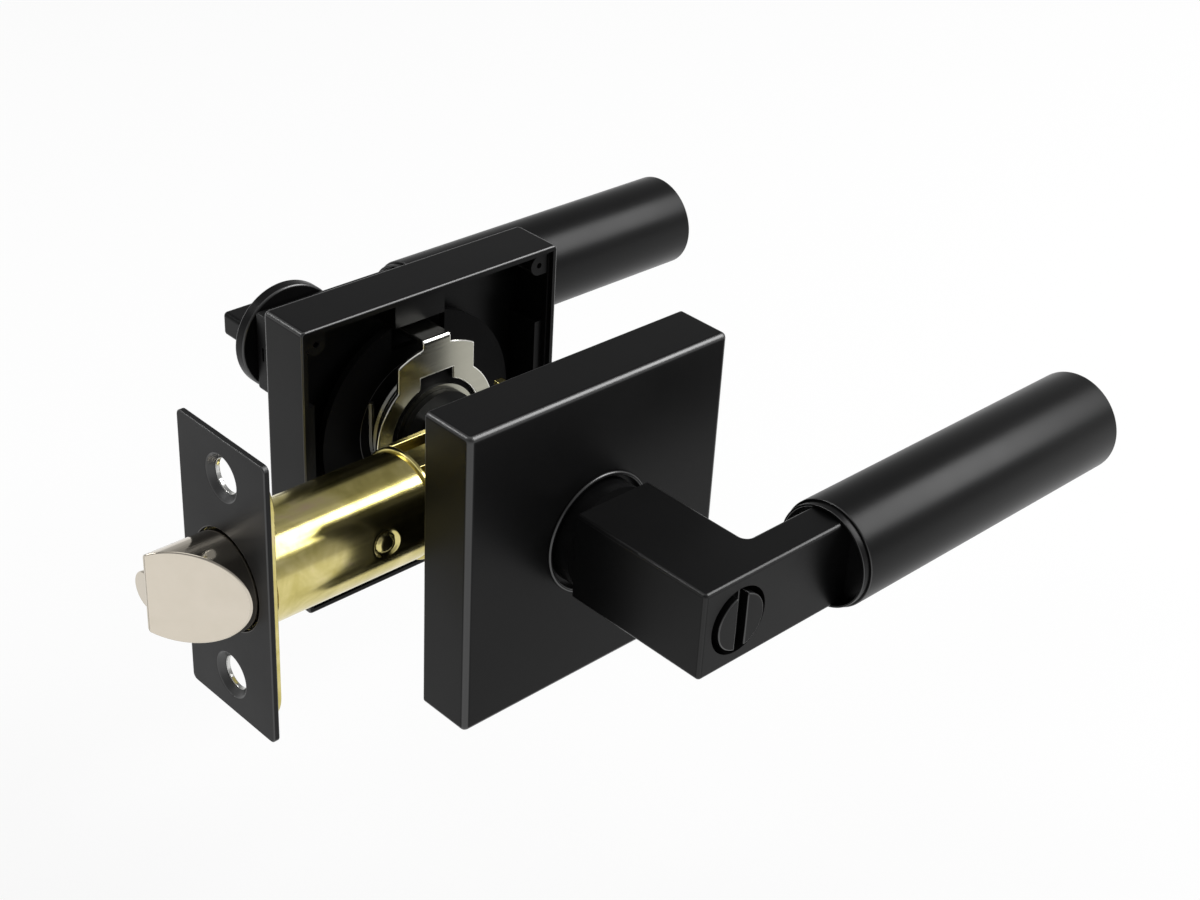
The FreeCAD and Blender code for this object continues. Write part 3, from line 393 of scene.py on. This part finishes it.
def makeBoltNickel(name, look):
    # nickel: satin and lighter where the face looks along the bevel's normal, polished elsewhere
    material, tree, shader = shaderFor(name)
    facing = tree.nodes.new("ShaderNodeVectorMath")
    facing.operation = "DOT_PRODUCT"
    facing.inputs[1].default_value = look["bevelNormal"]
    tree.links.new(objectNormal(tree), facing.inputs[0])
    bevel = (look["bevelFrom"], look["bevelFull"])
    rough = spread(tree, facing.outputs["Value"], look["polished"], look["satin"], *bevel)
    lighter = spread(tree, facing.outputs["Value"], 1, look["lift"], *bevel)
    shaded = [part * share for part, share in zip(look["colour"], look["shade"])]
    cloud = noise(tree, objectPlace(tree), **look["cloud"])
    lifted = tree.nodes.new("ShaderNodeVectorMath")
    lifted.operation = "SCALE"
    tree.links.new(ramp(tree, cloud, [(noiseFrom, shaded), (noiseTo, look["colour"])]), lifted.inputs[0])
    tree.links.new(lighter, lifted.inputs["Scale"])
    tree.links.new(lifted.outputs["Vector"], shader.inputs["Base Color"])
    tree.links.new(rough, shader.inputs["Roughness"])
    fine = noise(tree, objectPlace(tree, look["stretch"]), **look["fine"])
    tree.links.new(bumpFrom(tree, fine, look["bumpDepth"], look["bumpStrength"]), shader.inputs["Normal"])
    shader.inputs["Metallic"].default_value = 1
    return material


makers = [
    (makeSatinBlack, {"satinBlack": satinBlack, "gripBlack": gripBlack, "collarBlack": collarBlack,
                      "leverBlack": leverBlack, "facePaint": facePaint, "mattePlastic": mattePlastic}),
    (makeMetal, {"nickelPlate": nickelPlate, "platedSteel": platedSteel}),
    (makeChromate, {"chromate": chromate, "tubeChromate": tubeChromate, "boredChromate": boredChromate}),
    (makeBoltNickel, {"boltNickel": boltNickel}),
]
materials = {name: maker(name, look) for maker, looks in makers for name, look in looks.items()}

finishes = {
    "satinBlack": ["front_rose", "rear_rose"],
    "leverBlack": ["front_lever", "rear_lever"],
    "gripBlack": ["front_grip", "rear_grip", "front_grip_ring", "rear_grip_ring"],
    "collarBlack": ["front_collar", "rear_collar", "release_button", "thumb_turn"],
    "facePaint": ["faceplate"],
    "mattePlastic": ["front_washer", "rear_washer", "front_carrier", "rear_carrier"],
    "nickelPlate": ["front_retaining_plate", "rear_retaining_plate", "front_retaining_ring",
                    "rear_retaining_ring"],
    "platedSteel": ["front_return_spring", "rear_return_spring", "spindle", "privacy_rod",
                    "through_bolts", "bolt_spring", "plunger_spring"],
    "chromate": ["hub_frame", "latch_hub", "retractor"],
    "tubeChromate": ["latch_tube"],
    "boredChromate": ["backing_plate"],
    "boltNickel": ["latch_bolt", "deadlatch_plunger"],
}
for finishName, nodeNames in finishes.items():
    for nodeName in nodeNames:
        nodes[nodeName].data.materials.clear()
        nodes[nodeName].data.materials.append(materials[finishName])
print("materials made:", len(materials))


# Pieces

gripLook = {"mouthDeep": 1.4 * mm, "mouthWall": 0.5 * mm, "tipRound": 0.6 * mm, "mouthRound": 0.22 * mm,
            "arcSteps": 6, "segments": 160}


def makeGrip(side, body, look):
    # round bar: a profile from the floor of its mouth over the rim to the tip, carried round X
    low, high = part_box(side + "_grip")
    radius = (high.z - low.z) / 2
    inner = radius - look["mouthWall"]
    floor = low.x + look["mouthDeep"]
    corners = [(floor, 0), (floor, inner), (low.x, inner), (low.x, radius, look["mouthRound"]),
               (high.x, radius, look["tipRound"]), (high.x, 0)]
    centre = (0, (low.y + high.y) / 2, (low.z + high.z) / 2)
    profile = profileOf(corners, False, look["arcSteps"])
    mesh = gridMesh(side + "GripSurface", turned(profile, centre, (1, 0, 0), look["segments"]), True, False)
    finishPiece(side + "GripSurface", mesh, materials["gripBlack"], body, side + "_grip")


ringLook = {"wall": 0.5 * mm, "round": 0.15 * mm, "arcSteps": 3, "segments": 160}


def makeGripRing(side, body, look):
    # thin sleeve: a closed section with rounded rims, carried round X
    low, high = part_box(side + "_grip_ring")
    radius = (high.z - low.z) / 2
    inner = radius - look["wall"]
    corners = [(low.x, inner, look["round"]), (low.x, radius, look["round"]),
               (high.x, radius, look["round"]), (high.x, inner, look["round"])]
    centre = (0, (low.y + high.y) / 2, (low.z + high.z) / 2)
    profile = profileOf(corners, True, look["arcSteps"])
    mesh = gridMesh(side + "GripRingSurface", turned(profile, centre, (1, 0, 0), look["segments"]), True, True)
    finishPiece(side + "GripRingSurface", mesh, materials["gripBlack"], body,
                side + "_grip_ring")


collarLook = {"flange": 14.2 * mm, "flangeThick": 1.5 * mm, "sleeve": 12.3 * mm, "mouth": 11.5 * mm,
              "mouthDeep": 1.6 * mm, "bore": 10.66 * mm, "edge": 0.38 * mm, "mouthEdge": 0.36 * mm,
              "lip": 0.15 * mm, "arcSteps": 4, "segments": 192}


def makeCollar(side, look):
    # flanged bush: a closed section with an eased mouth, carried round Y away from the door
    low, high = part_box(side + "_collar")
    outwards = -1 if side == "front" else 1
    seat, face = sorted((abs(low.y), abs(high.y)))
    step = seat + look["flangeThick"]
    mouthFloor = face - look["mouthDeep"]
    corners = [(seat, look["bore"]), (seat, look["flange"], look["lip"]),
               (step, look["flange"], look["lip"]), (step, look["sleeve"]),
               (face, look["sleeve"], look["edge"]), (face, look["mouth"], look["mouthEdge"]),
               (mouthFloor, look["mouth"]), (mouthFloor, look["bore"])]
    profile = profileOf(corners, True, look["arcSteps"])
    points = turned(profile, (0, 0, 0), (0, outwards, 0), look["segments"])
    mesh = gridMesh(side + "CollarSurface", points, True, True)
    finishPiece(side + "CollarSurface", mesh, materials["collarBlack"], "chassis",
                side + "_collar")


# the crimp's groove and cup are shares of its radius and depth; each side of the notch is notchStep radians
tubeLook = {"wall": 1.0 * mm, "rimLong": 1.0 * mm, "rimProud": 0.6 * mm, "rimRound": 0.28 * mm,
            "notchLong": 1.6 * mm, "notchLow": -3.5 * mm, "notchHigh": 5.5 * mm, "notchStep": 0.001,
            "crimpBeforeEnd": 12.1 * mm, "crimpHigh": 1.2 * mm, "crimpRadius": 3.0 * mm,
            "crimpDeep": 0.45 * mm, "grooveAt": 0.72, "grooveWide": 0.17, "cupDeep": 0.35,
            "cupEdge": 0.8, "cupSoft": 0.05, "arcSteps": 5, "rows": 150, "segments": 240}


def crimpDepth(reach, look):
    # reach is distance over the crimp's radius: a bell curve for the ring groove round a shallow cup
    groove = np.exp(-((reach - look["grooveAt"]) / look["grooveWide"]) ** 2)
    cup = look["cupDeep"] / (1 + np.exp((reach - look["cupEdge"]) / look["cupSoft"]))
    return look["crimpDeep"] * (groove + cup)


def makeLatchTube(look):
    # wall (x, -r cos a, r sin a) with r less the crimp's depth; each column starts later in the notch;
    # then over the rolled rim and back along the inside
    low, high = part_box("latch_tube")
    rim = (high.z - low.z) / 2
    radius = rim - look["rimProud"]
    inner = radius - look["wall"]
    limits = np.arcsin(np.array([look["notchLow"], look["notchHigh"]]) / radius)
    around = np.linspace(-math.pi, math.pi, look["segments"], endpoint=False)
    halfStep = look["notchStep"] / 2
    around = np.sort(np.concatenate([around, limits - halfStep, limits + halfStep]))
    inNotch = (around > limits[0]) & (around < limits[1])
    first = low.x + look["notchLong"] * inNotch
    share = np.linspace(0, 1, look["rows"])[:, None]
    rimStart = high.x - look["rimLong"]
    wallPlace = first + share * (rimStart - first)
    crimpAngle = math.asin(look["crimpHigh"] / radius)
    reach = np.hypot(wallPlace - (high.x - look["crimpBeforeEnd"]), radius * (around - crimpAngle))
    wallRadius = radius - crimpDepth(reach / look["crimpRadius"], look)
    corners = [(rimStart, radius), (rimStart, rim, look["rimRound"]), (high.x, rim, look["rimRound"]),
               (high.x, inner, look["rimRound"]), (rimStart, inner)]
    rolled = profileOf(corners, False, look["arcSteps"])[1:]
    even = np.ones_like(around)
    place = np.concatenate([wallPlace, rolled[:, :1] * even, first[None]])
    spin = np.concatenate([wallRadius, rolled[:, 1:] * even, inner * even[None]])
    points = np.stack([place, -spin * np.cos(around), spin * np.sin(around)], -1)
    mesh = gridMesh("latchTubeSurface", points, True, True)
    finishPiece("latchTubeSurface", mesh, materials["tubeChromate"], "chassis",
                "latch_tube")


# the plunger's spring has two stretches, the front one for the plunger's slide and the rear one for the bolt's,
# and a small share of its wire is left out where they meet
boltTravel = 12.7 * mm
plungerTravel = 7.0 * mm
plungerShare = plungerTravel / (plungerTravel + boltTravel)
wireGap = 0.0014
coilSprings = {
    "boltSpringCoil": {"node": "bolt_spring", "wire": 0.42 * mm, "start": 0, "end": 1, "body": "chassis",
                       "joint": "bolt_slide", "travel": boltTravel},
    "plungerSpringFront": {"node": "plunger_spring", "wire": 0.23 * mm, "start": 0,
                           "end": plungerShare - wireGap, "body": "bolt", "joint": "plunger_slide",
                           "travel": plungerTravel},
    "plungerSpringRear": {"node": "plunger_spring", "wire": 0.23 * mm, "start": plungerShare + wireGap,
                          "end": 1, "body": "chassis", "joint": "bolt_slide", "travel": boltTravel},
}
coilGrid = {"turns": 7, "perTurn": 26, "round": 10, "sharpAt": 50}


def makeCoil(name, look, grid):
    # round wire along (x, r sin a, -r cos a), x rising evenly with a: centre + wire (cos b outwards + sin b
    # binormal), with both ends closed
    low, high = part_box(look["node"])
    wire = look["wire"]
    radius = (high.z - low.z) / 2 - wire
    rise = high.x - low.x - 2 * wire
    full = 2 * math.pi * grid["turns"]
    steps = round(grid["turns"] * grid["perTurn"] * (look["end"] - look["start"]))
    angle = np.linspace(look["start"] * full, look["end"] * full, steps + 1)
    zero = np.zeros_like(angle)
    path = np.stack([low.x + wire + rise * angle / full, (low.y + high.y) / 2 + radius * np.sin(angle),
                     (low.z + high.z) / 2 - radius * np.cos(angle)], 1)
    outwards = np.stack([zero, np.sin(angle), -np.cos(angle)], 1)
    onwards = np.stack([zero + rise / full, radius * np.cos(angle), radius * np.sin(angle)], 1)
    onwards /= np.linalg.norm(onwards, axis=1)[:, None]
    binormal = np.cross(onwards, outwards)
    turn = np.linspace(0, 2 * math.pi, grid["round"], endpoint=False)
    ring = np.cos(turn)[:, None] * outwards[:, None] + np.sin(turn)[:, None] * binormal[:, None]
    pole = np.ones((1, grid["round"], 1))
    points = np.concatenate([path[:1, None] * pole, path[:, None] + wire * ring, path[-1:, None] * pole])
    mesh = gridMesh(name, points, True, False)
    replaced = look["node"] if look["body"] == "chassis" else None
    piece = finishPiece(name, mesh, materials["platedSteel"], look["body"], replaced,
                        grid["sharpAt"])
    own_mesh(piece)


# mergeWithin in metres, flatWithin and sharpAt in degrees
easing = {"mergeWithin": 2e-6, "flatWithin": 0.6, "sharpAt": 32, "segments": 3}
easedLook = {
    "faceplate": {"body": "chassis", "slot": "black_metal", "width": 0.22 * mm},
    "backing_plate": {"body": "chassis", "slot": "yellow_chromate", "width": 0.15 * mm},
    "front_retaining_plate": {"body": "chassis", "slot": "plated_steel", "width": 0.3 * mm},
    "rear_retaining_plate": {"body": "chassis", "slot": "plated_steel", "width": 0.3 * mm},
    "hub_frame": {"body": "chassis", "slot": "yellow_chromate", "width": 0.18 * mm},
    "retractor": {"body": "bolt", "slot": "yellow_chromate", "width": 0.18 * mm},
    "latch_bolt": {"body": "bolt", "slot": "satin_nickel", "width": 0.28 * mm},
    "deadlatch_plunger": {"body": "deadlatch", "slot": "satin_nickel", "width": 0.25 * mm},
    "release_button": {"body": "release", "slot": "black_metal", "width": 0.25 * mm},
}


def easeEdges(nodeName, look, grid):
    # a merged copy of the node with its flat faces joined up and each corner rounded by a small bevel
    work = bmesh.new()
    work.from_mesh(nodes[nodeName].data)
    bmesh.ops.remove_doubles(work, verts=work.verts, dist=grid["mergeWithin"])
    bmesh.ops.dissolve_limit(work, angle_limit=math.radians(grid["flatWithin"]), verts=work.verts,
                             edges=work.edges)
    mesh = bpy.data.meshes.new(nodeName + "Eased")
    work.to_mesh(mesh)
    work.free()
    material = nodes[nodeName].data.materials[0]
    mesh.materials.clear()
    piece = finishPiece(nodeName + "Eased", mesh, material, look["body"], nodeName,
                        grid["sharpAt"])
    bevel = piece.modifiers.new("easedEdges", "BEVEL")
    bevel.width = look["width"]
    bevel.segments = grid["segments"]
    bevel.limit_method = "ANGLE"
    bevel.angle_limit = math.radians(grid["sharpAt"])
    bevel.use_clamp_overlap = False
    flat = piece.modifiers.new("flatFaces", "WEIGHTED_NORMAL")
    flat.keep_sharp = True


for side, body in (("front", "outside_lever"), ("rear", "inside_lever")):
    makeGrip(side, body, gripLook)
    makeGripRing(side, body, ringLook)
    makeCollar(side, collarLook)
print("grips and collars made")
makeLatchTube(tubeLook)
print("latch tube made")
for springName, springLook in coilSprings.items():
    makeCoil(springName, springLook, coilGrid)
print("coil springs made:", len(coilSprings))
for easedName, easedSizes in easedLook.items():
    easeEdges(easedName, easedSizes, easing)
print("edges eased:", len(easedLook))


# Stage

cameraView = {"azimuth": -46.65, "elevation": 30.33, "roll": 4.25, "focalPixels": 2002.98,
              "distance": 383.61 * mm, "aside": 31.33 * mm, "above": 7.91 * mm, "nearest": 10 * mm,
              "centrePixels": (656.3, 423.6), "imagePixels": (1200, 900), "sensor": 36}


def placeCamera(view):
    # the eye is distance back + aside right + above up, with right and up turned by the roll
    azimuth = math.radians(view["azimuth"])
    elevation = math.radians(view["elevation"])
    roll = math.radians(view["roll"])
    back = Vector((math.sin(azimuth) * math.cos(elevation), -math.cos(azimuth) * math.cos(elevation),
                   math.sin(elevation)))
    level = Vector((math.cos(azimuth), math.sin(azimuth), 0))
    rise = back.cross(level)
    right = math.cos(roll) * level + math.sin(roll) * rise
    up = -math.sin(roll) * level + math.cos(roll) * rise
    data = bpy.data.cameras.new("photoCamera")
    wide, tall = view["imagePixels"]
    data.sensor_width = view["sensor"]
    data.lens = view["focalPixels"] / wide * view["sensor"]
    data.shift_x = (wide / 2 - view["centrePixels"][0]) / wide
    data.shift_y = (view["centrePixels"][1] - tall / 2) / wide
    data.clip_start = view["nearest"]
    camera = bpy.data.objects.new("photoCamera", data)
    bpy.context.scene.collection.objects.link(camera)
    place = back * view["distance"] + right * view["aside"] + up * view["above"]
    turn = Matrix((right, up, back)).transposed()
    camera.matrix_world = Matrix.Translation(place) @ turn.to_4x4()
    bpy.context.scene.camera = camera


lamps = {
    "key": {"towards": (0.64, -0.395, 0.66), "away": 1.5, "size": (0.76, 0.95), "power": 20},
    "fill": {"towards": (-0.1, 0.15, 1), "away": 0.9, "size": (0.8, 0.8), "power": 1.5},
    "leftRear": {"towards": (-0.5, 0.6, 0.63), "away": 0.8, "size": (0.18, 0.18), "power": 1.2},
}


def addLamp(name, look, target):
    # the lamp faces the target from its direction, its first side as near to X as that allows
    data = bpy.data.lights.new(name, "AREA")
    data.shape = "RECTANGLE"
    data.size, data.size_y = look["size"]
    data.energy = look["power"]
    lamp = bpy.data.objects.new(name, data)
    bpy.context.scene.collection.objects.link(lamp)
    direction = Vector(look["towards"]).normalized()
    long = (Vector((1, 0, 0)) - direction * direction.x).normalized()
    turn = Matrix((long, direction.cross(long), direction)).transposed()
    lamp.matrix_world = Matrix.Translation(target + direction * look["away"]) @ turn.to_4x4()


stageLook = {"floorBelow": 0.075, "floorHalf": 6.0, "white": 0.9, "roughness": 0.9, "seenShare": 0.86,
             "horizon": 0.6, "sky": 0.27, "skyFrom": 0.5}


def seenRays(tree):
    # 1 for camera, glossy and transmission rays
    path = tree.nodes.new("ShaderNodeLightPath")
    total = path.outputs["Is Camera Ray"]
    for ray in ("Is Glossy Ray", "Is Transmission Ray"):
        total = worked(tree, "MAXIMUM", total, path.outputs[ray])
    return total


def makeFloor(look):
    # pale floor, mostly plain white for the rays that are seen
    half = look["floorHalf"]
    level = cadBox[0][2] - look["floorBelow"]
    corners = np.array([[-half, -half, level], [half, -half, level], [half, half, level],
                        [-half, half, level]])
    mesh = bpy.data.meshes.new("floor")
    mesh.from_pydata(corners, [], [(0, 1, 2, 3)])
    floor = bpy.data.objects.new("floor", mesh)
    bpy.context.scene.collection.objects.link(floor)
    material, tree, shader = shaderFor("floorPaint")
    shader.inputs["Base Color"].default_value = (look["white"], look["white"], look["white"], 1)
    shader.inputs["Roughness"].default_value = look["roughness"]
    shader.inputs["Specular IOR Level"].default_value = 0
    glow = tree.nodes.new("ShaderNodeEmission")
    mixed = tree.nodes.new("ShaderNodeMixShader")
    tree.links.new(spread(tree, seenRays(tree), 0, look["seenShare"], 0, 1), mixed.inputs[0])
    tree.links.new(shader.outputs[0], mixed.inputs[1])
    tree.links.new(glow.outputs[0], mixed.inputs[2])
    tree.links.new(mixed.outputs[0], tree.nodes["Material Output"].inputs["Surface"])
    mesh.materials.append(material)


def makeSky(look):
    # white sky whose strength falls from the horizon up to skyFrom, the upward part of the direction
    world = bpy.data.worlds.new("studio")
    bpy.context.scene.world = world
    world.use_nodes = True
    tree = world.node_tree
    background = tree.nodes["Background"]
    background.inputs["Color"].default_value = (1, 1, 1, 1)
    direction = tree.nodes.new("ShaderNodeTexCoord").outputs["Generated"]
    strength = spread(tree, partsOf(tree, direction)["Z"], look["horizon"], look["sky"], 0, look["skyFrom"])
    tree.links.new(strength, background.inputs["Strength"])


placeCamera(cameraView)
middle = Vector([(low + high) / 2 for low, high in zip(*cadBox)])
for lampName, lampLook in lamps.items():
    addLamp(lampName, lampLook, middle)
makeFloor(stageLook)
makeSky(stageLook)
bpy.context.scene.view_settings.view_transform = "Standard"
print("stage made")
